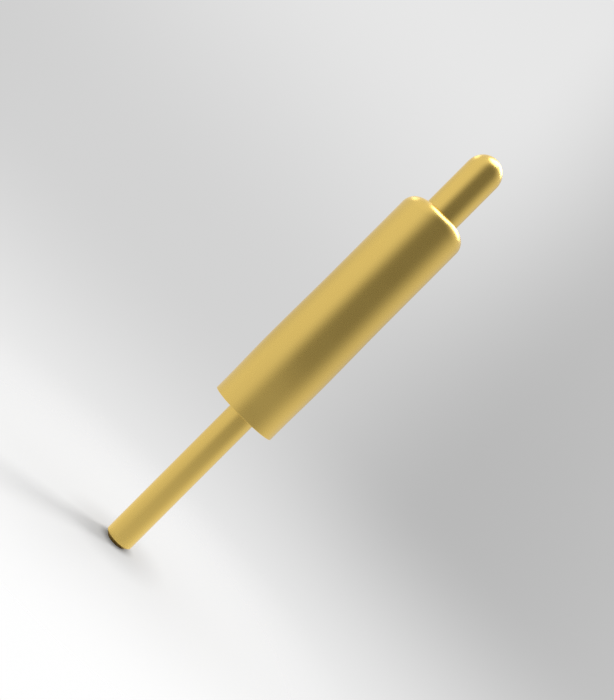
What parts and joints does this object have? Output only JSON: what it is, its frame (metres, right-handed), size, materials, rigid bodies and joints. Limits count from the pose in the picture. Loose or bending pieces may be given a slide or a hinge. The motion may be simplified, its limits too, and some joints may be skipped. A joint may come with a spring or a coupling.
{
  "type": "pogo pin",
  "caption": "Spring-loaded contact pin: a round-tipped plunger slides in a turned barrel with a rolled mouth, a flat seating shoulder and a thin solder tail.",
  "frame": {"origin": "centre of the barrel's seating shoulder, where the root of the solder tail meets the board's face", "axes": "+Z along the pin's axis, from the solder tail towards the contact tip; X and Y are across the round pin"},
  "size_m": [0.002, 0.002, 0.0136],
  "materials": {
    "gold_plate": "satin gold plating on turned brass",
    "spring_steel": "drawn stainless spring wire"
  },
  "bodies": {
    "barrel": {"barrel": "gold_plate", "spring": "spring_steel"},
    "plunger": {"plunger": "gold_plate"}
  },
  "joints": [
    {"name": "plunger_travel", "type": "slide", "parent": "barrel", "child": "plunger", "axis": [0, 0, -1], "range_m": [0, 0.0014], "stiffness_N_per_m": 500, "springref_m": -0.0005, "deforming": ["spring"]}
  ]
}
